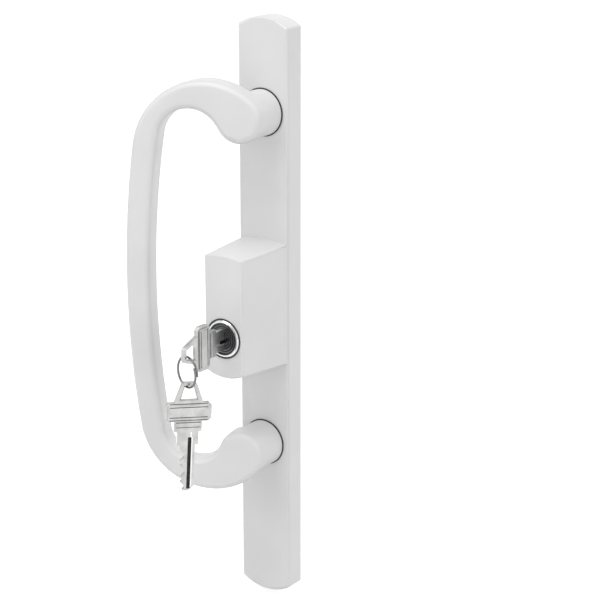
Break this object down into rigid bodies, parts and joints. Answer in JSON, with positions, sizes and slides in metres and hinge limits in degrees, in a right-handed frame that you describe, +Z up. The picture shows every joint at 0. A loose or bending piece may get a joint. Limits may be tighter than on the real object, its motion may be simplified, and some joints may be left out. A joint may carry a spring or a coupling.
{
  "type": "sliding patio door handle",
  "caption": "White cast plate with a flared D pull and a lock housing whose key cylinder turns a tailpiece; a key stands in it with a spare on a wire ring.",
  "frame": {"origin": "on the plate's back face, on its middle line, midway between the pull's two posts", "axes": "+X to the right as seen from outside, +Y into the door, +Z up"},
  "size_m": [0.0708, 0.0932, 0.2863],
  "materials": {
    "white_coat": "satin white powder coat",
    "chrome": "polished chrome plate",
    "plug_brass": "dark chrome plate",
    "brass": "bare turned brass",
    "zinc_steel": "zinc plate",
    "key_nickel": "nickel plate",
    "ring_steel": "polished wire"
  },
  "bodies": {
    "handle": {"escutcheon": "white_coat", "pull": "white_coat", "upper_pull_screw": "zinc_steel", "lower_pull_screw": "zinc_steel", "upper_pull_washer": "zinc_steel", "lower_pull_washer": "zinc_steel", "cylinder_shell": "chrome", "retainer_plate": "zinc_steel", "upper_retainer_screw": "zinc_steel", "lower_retainer_screw": "zinc_steel"},
    "plug": {"cylinder_plug": "plug_brass", "key_pin_1": "brass", "key_pin_2": "brass", "key_pin_3": "brass", "key_pin_4": "brass", "key_pin_5": "brass", "plug_cap": "zinc_steel", "tailpiece": "zinc_steel", "key": "key_nickel"},
    "ring": {"key_ring": "ring_steel"},
    "spare": {"spare_key": "key_nickel"}
  },
  "joints": [
    {"name": "key_turn", "type": "hinge", "parent": "handle", "child": "plug", "pos_m": [0, -0.0439, -0.0202], "axis": [0, 1, 0], "range_deg": [-90, 90]},
    {"name": "ring_swing", "type": "hinge", "parent": "plug", "child": "ring", "pos_m": [0, -0.0713, -0.02354], "axis": [0.2924, 0.9563, 0], "range_deg": [-45, 45]},
    {"name": "spare_key_swing", "type": "hinge", "parent": "ring", "child": "spare", "pos_m": [0, -0.0713, -0.03584], "axis": [0.9563, -0.2924, 0], "range_deg": [-45, 12]}
  ]
}
